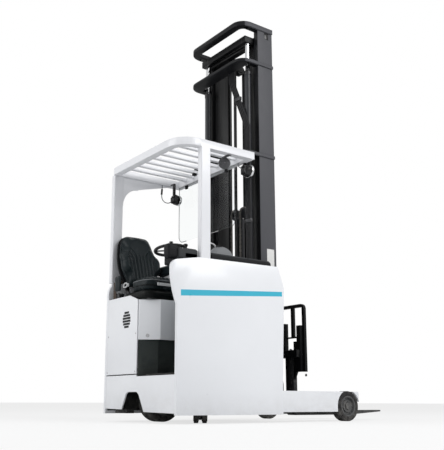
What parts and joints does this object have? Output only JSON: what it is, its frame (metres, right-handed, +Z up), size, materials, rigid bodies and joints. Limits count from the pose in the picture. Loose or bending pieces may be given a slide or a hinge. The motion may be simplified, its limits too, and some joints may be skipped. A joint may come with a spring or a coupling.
{
  "type": "reach truck",
  "caption": "Sit-on reach truck with a side-facing seat, overhead guard, two straddle legs, a tall telescopic mast that rolls forward, and a pair of tilting forks.",
  "frame": {"origin": "on the floor, under the middle of the overall length and width", "axes": "+X forward from the rear of the body towards the fork tips, +Y to the left, +Z up"},
  "size_m": [2.523, 1.1, 3.48],
  "materials": {
    "body_white": "semi-gloss",
    "frame_gray": "satin",
    "mast_dark": "satin",
    "guard_white": "semi-gloss",
    "battery_case": "satin",
    "cast_hub": "satin",
    "motor_case": "satin",
    "wheel_rubber": "matte",
    "cylinder_tube": "satin",
    "polished_rod": "polished",
    "chain_steel": "oiled",
    "hose_rubber": "matte",
    "seat_vinyl": "satin",
    "seat_steel": "satin",
    "lining_dark": "matte",
    "dash_plastic": "matte",
    "console_gray": "satin",
    "helm_rim": "satin",
    "lamp_case": "gloss",
    "clear_pane": "clear"
  },
  "bodies": {
    "chassis": {"side_panel_right": "body_white", "side_panel_left": "body_white", "rear_skirt": "body_white", "rear_cover": "body_white", "seat_base": "body_white", "footwell_lining": "lining_dark", "chassis_frame": "frame_gray", "battery": "battery_case", "battery_hood": "body_white", "straddle_leg_left": "body_white", "straddle_leg_right": "body_white", "load_axle_left": "frame_gray", "load_axle_right": "frame_gray", "overhead_guard": "guard_white", "guard_slats": "guard_white", "drive_motor": "motor_case", "reach_barrel": "cylinder_tube", "seat_frame": "seat_steel", "seat_cushion": "seat_vinyl", "seat_backrest": "seat_vinyl", "hip_bolster": "seat_vinyl", "side_console": "dash_plastic", "dash_pod": "dash_plastic", "steering_column": "dash_plastic", "console_trim": "dash_plastic", "lever_dome": "console_gray", "work_lamps": "lamp_case", "warning_horn": "seat_steel", "mast_screen": "clear_pane"},
    "drive_head": {"drive_unit": "cast_hub"},
    "drive_wheel": {"drive_hub": "cast_hub", "drive_tyre": "wheel_rubber"},
    "caster": {"caster_fork": "cast_hub"},
    "caster_roller": {"caster_wheel": "wheel_rubber"},
    "load_wheel_left": {"load_hub_left": "cast_hub", "load_tyre_left": "wheel_rubber"},
    "load_wheel_right": {"load_hub_right": "cast_hub", "load_tyre_right": "wheel_rubber"},
    "helm": {"steering_wheel": "helm_rim"},
    "mast": {"outer_mast": "mast_dark", "mast_ties": "mast_dark", "reach_carriage": "frame_gray", "lift_barrels": "cylinder_tube", "reach_rod": "polished_rod", "supply_hoses": "hose_rubber"},
    "second_stage": {"middle_mast": "mast_dark", "lift_rods": "polished_rod"},
    "third_stage": {"inner_mast": "mast_dark", "free_lift_barrel": "cylinder_tube", "lift_hoses": "hose_rubber"},
    "lifter": {"lift_carriage": "mast_dark", "tilt_barrel": "cylinder_tube"},
    "lift_crosshead": {"free_lift_head": "cylinder_tube", "free_lift_chains": "chain_steel"},
    "tilt_ram": {"tilt_rod": "polished_rod"},
    "fork_frame": {"tilt_carriage": "mast_dark", "fork_left": "mast_dark", "fork_right": "mast_dark", "load_backrest": "mast_dark"}
  },
  "joints": [
    {"name": "steer", "type": "hinge", "parent": "chassis", "child": "drive_head", "pos_m": [-0.9085, 0.142, 0.165], "axis": [0, 0, 1], "range_deg": [-90, 90]},
    {"name": "drive_spin", "type": "hinge", "parent": "drive_head", "child": "drive_wheel", "pos_m": [-0.9085, 0.142, 0.165], "axis": [0, 1, 0], "continuous": true},
    {"name": "caster_swivel", "type": "hinge", "parent": "chassis", "child": "caster", "pos_m": [-0.8795, -0.384, 0.08], "axis": [0, 0, 1], "continuous": true},
    {"name": "caster_spin", "type": "hinge", "parent": "caster", "child": "caster_roller", "pos_m": [-0.8577, -0.35287, 0.08], "axis": [-0.8192, 0.5736, 0], "continuous": true},
    {"name": "load_spin_left", "type": "hinge", "parent": "chassis", "child": "load_wheel_left", "pos_m": [0.5495, 0.503, 0.125], "axis": [0, 1, 0], "continuous": true},
    {"name": "load_spin_right", "type": "hinge", "parent": "chassis", "child": "load_wheel_right", "pos_m": [0.5495, -0.503, 0.125], "axis": [0, 1, 0], "continuous": true},
    {"name": "helm_turn", "type": "hinge", "parent": "chassis", "child": "helm", "pos_m": [-1.1015, -0.288, 1.312], "axis": [0, 0.1564, 0.9877], "continuous": true},
    {"name": "reach", "type": "slide", "parent": "chassis", "child": "mast", "axis": [1, 0, 0], "range_m": [0, 0.54]},
    {"name": "second_lift", "type": "slide", "parent": "mast", "child": "second_stage", "axis": [0, 0, 1], "range_m": [0, 2.4]},
    {"name": "third_lift", "type": "slide", "parent": "second_stage", "child": "third_stage", "axis": [0, 0, 1], "range_m": [0, 2.4]},
    {"name": "carriage_lift", "type": "slide", "parent": "third_stage", "child": "lifter", "axis": [0, 0, 1], "range_m": [0, 2.5]},
    {"name": "crosshead_lift", "type": "slide", "parent": "third_stage", "child": "lift_crosshead", "axis": [0, 0, 1], "range_m": [0, 1.25]},
    {"name": "fork_tilt", "type": "hinge", "parent": "lifter", "child": "fork_frame", "pos_m": [0.0865, 0, 0.19], "axis": [0, 1, 0], "range_deg": [-5, 2]},
    {"name": "tilt_stroke", "type": "slide", "parent": "lifter", "child": "tilt_ram", "axis": [1, 0, 0], "range_m": [-0.0323, 0.0129]}
  ],
  "couplings": [
    {"joint": "third_lift", "follows": "second_lift", "ratio": 1},
    {"joint": "crosshead_lift", "follows": "carriage_lift", "ratio": 0.5},
    {"joint": "tilt_stroke", "follows": "fork_tilt", "m_per_rad": 0.369}
  ]
}
